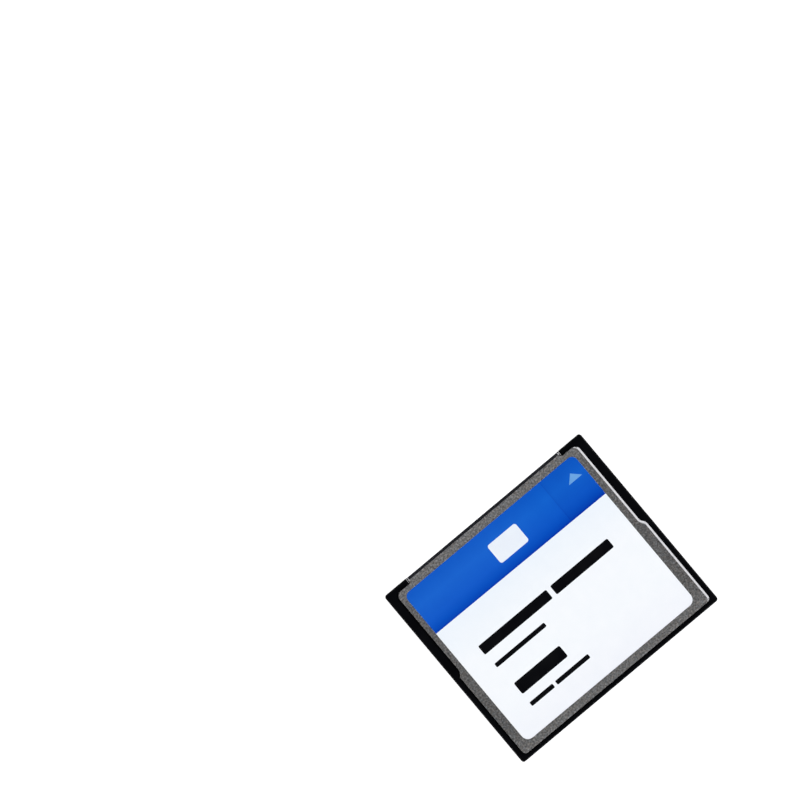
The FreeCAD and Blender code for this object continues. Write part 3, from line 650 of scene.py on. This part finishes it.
def printed_label(name, fields, foot, face):
    """A film whose top face is divided into printed fields. The first field is the film's own
    outline, and a later field lies over an earlier one."""
    points, loops = [], []
    for border, _ in fields:
        loops.append(list(range(len(points), len(points) + len(border))))
        points.extend(border)
    flat, _, triangles, _, _, owners = delaunay_2d_cdt(
        points, [], loops, TRIANGLES_INSIDE, SAME_POINT, True)
    printed = [(triangle, max(owner)) for triangle, owner in zip(triangles, owners) if 0 in owner]
    mesh = film_mesh(name, flat, printed, foot, face)
    for _, ink in fields:
        mesh.materials.append(ink)
    piece = bpy.data.objects.new(name, mesh)
    bpy.context.scene.collection.objects.link(piece)
    softened = piece.modifiers.new("cut edge", "BEVEL")
    softened.width = CUT_EDGE
    softened.segments = CUT_EDGE_STEPS
    softened.limit_method = "ANGLE"
    softened.angle_limit = radians(CUT_EDGE_ANGLE)
    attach(piece, "root")
    return piece


label = printed_label("printed_label", prints, label_low.z, label_high.z)
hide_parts("top_label")
print("faces of the label:", len(label.data.polygons))

# %% [markdown]
# ## Table and light
#
# The card was photographed on white with broad soft lights round it and nothing bright above, so
# the steel mirrors a dim ceiling and stays grey while the film next to it is bright. One low lamp
# stands at the card's right side, which the coined edge there mirrors as a white line.
#
# The table is white for the camera through its own colour and a little glow that only the camera,
# mirrors and glass see, so no extra light falls on the card.

# %% Table top
TABLE_RADIUS = 3.0
TABLE_DROP = 0.01 * MM


def white_table(radius):
    """A round table top that the card lies on."""
    disc = bmesh.new()
    bmesh.ops.create_circle(disc, cap_ends=True, segments=96, radius=radius)
    mesh = bpy.data.meshes.new("table")
    disc.to_mesh(mesh)
    disc.free()
    table = bpy.data.objects.new("table", mesh)
    table.location.z = cad_low.z - TABLE_DROP
    bpy.context.scene.collection.objects.link(table)
    return table


table = white_table(TABLE_RADIUS)
print("table radius in m:", TABLE_RADIUS)

# %% White for the table
TABLE_COLOUR, TABLE_GLOW = (0.8, 0.8, 0.8, 1), 0.62
table_white = bpy.data.materials.new("table white")
table_white.use_nodes = True
nodes, links = table_white.node_tree.nodes, table_white.node_tree.links
nodes.clear()
paint = nodes.new("ShaderNodeBsdfDiffuse")
paint.inputs["Color"].default_value = TABLE_COLOUR
glow = nodes.new("ShaderNodeEmission")
ray = nodes.new("ShaderNodeLightPath")
seen = nodes.new("ShaderNodeMath")
seen.operation = "MAXIMUM"
seen_or_through = nodes.new("ShaderNodeMath")
seen_or_through.operation = "MAXIMUM"
level = nodes.new("ShaderNodeMath")
level.operation = "MULTIPLY"
level.inputs[1].default_value = TABLE_GLOW
both = nodes.new("ShaderNodeAddShader")
surface = nodes.new("ShaderNodeOutputMaterial")
links.new(ray.outputs["Is Camera Ray"], seen.inputs[0])
links.new(ray.outputs["Is Glossy Ray"], seen.inputs[1])
links.new(seen.outputs[0], seen_or_through.inputs[0])
links.new(ray.outputs["Is Transmission Ray"], seen_or_through.inputs[1])
links.new(seen_or_through.outputs[0], level.inputs[0])
links.new(level.outputs[0], glow.inputs["Strength"])
links.new(paint.outputs[0], both.inputs[0])
links.new(glow.outputs[0], both.inputs[1])
links.new(both.outputs[0], surface.inputs["Surface"])
table.data.materials.append(table_white)
print("finish:", table_white.name)


# %% Soft lamps round the card
def softbox(name, side_angle, height_angle, distance, width, height, power):
    """A soft lamp that faces the card, from an angle round it and an angle above it."""
    lamp = bpy.data.lights.new(name, "AREA")
    lamp.shape = "RECTANGLE"
    lamp.size = width
    lamp.size_y = height
    lamp.energy = power
    holder = bpy.data.objects.new(name, lamp)
    out = Vector((cos(radians(side_angle)) * cos(radians(height_angle)),
                  sin(radians(side_angle)) * cos(radians(height_angle)),
                  sin(radians(height_angle))))
    holder.location = out * distance
    holder.rotation_euler = out.to_track_quat("Z", "Y").to_euler()
    bpy.context.scene.collection.objects.link(holder)
    return holder


# Angles in degrees, lengths in metres, power in watts.
HIGH_LAMP = {"height_angle": 42, "distance": 0.8, "width": 0.72, "height": 0.5, "power": 2.91}
LOW_LAMP = {"height_angle": 14, "distance": 0.6, "width": 1.1, "height": 0.2, "power": 0.93}
ROOM_COLOUR = (0.011, 0.012, 0.017, 1)
lamps = [softbox("lamp_%d" % angle, angle, **HIGH_LAMP) for angle in (45, 135, 225, 315)]
lamps.append(softbox("lamp_low_right", 0, **LOW_LAMP))
room = bpy.data.worlds.new("room")
room.use_nodes = True
room.node_tree.nodes["Background"].inputs["Color"].default_value = ROOM_COLOUR
bpy.context.scene.world = room
print("lamps:", len(lamps))

# %% [markdown]
# ## The camera
#
# The picture looks straight down and the card is turned by 39.95 degrees in it. It is 800 pixels
# wide at 5.96 pixels to the millimetre. A long lens from far away gives the nearly parallel view
# of the original, with no side of the card in sight.

# %% Camera over the card
PICTURE = 800
PIXELS_PER_MM = 5.96
CARD_TURN = 39.95
CENTRE_ACROSS, CENTRE_DOWN = 551.40, 598.14
FOCAL_LENGTH, SENSOR_WIDTH = 600, 36
lens = bpy.data.cameras.new("camera")
lens.lens = FOCAL_LENGTH
lens.sensor_width = SENSOR_WIDTH
view_width = PICTURE / PIXELS_PER_MM * MM
distance = view_width * FOCAL_LENGTH / SENSOR_WIDTH
camera = bpy.data.objects.new("camera", lens)
camera.rotation_euler = (0, 0, radians(-CARD_TURN))
right_and_up = Vector((CENTRE_ACROSS - PICTURE / 2, PICTURE / 2 - CENTRE_DOWN))
offset = Matrix.Rotation(radians(-CARD_TURN), 2) @ (right_and_up / PIXELS_PER_MM * MM)
camera.location = (-offset.x, -offset.y, cad_high.z + distance)
bpy.context.scene.collection.objects.link(camera)
bpy.context.scene.camera = camera
bpy.context.scene.view_settings.view_transform = "Standard"
print("camera height in m:", round(camera.location.z, 3))
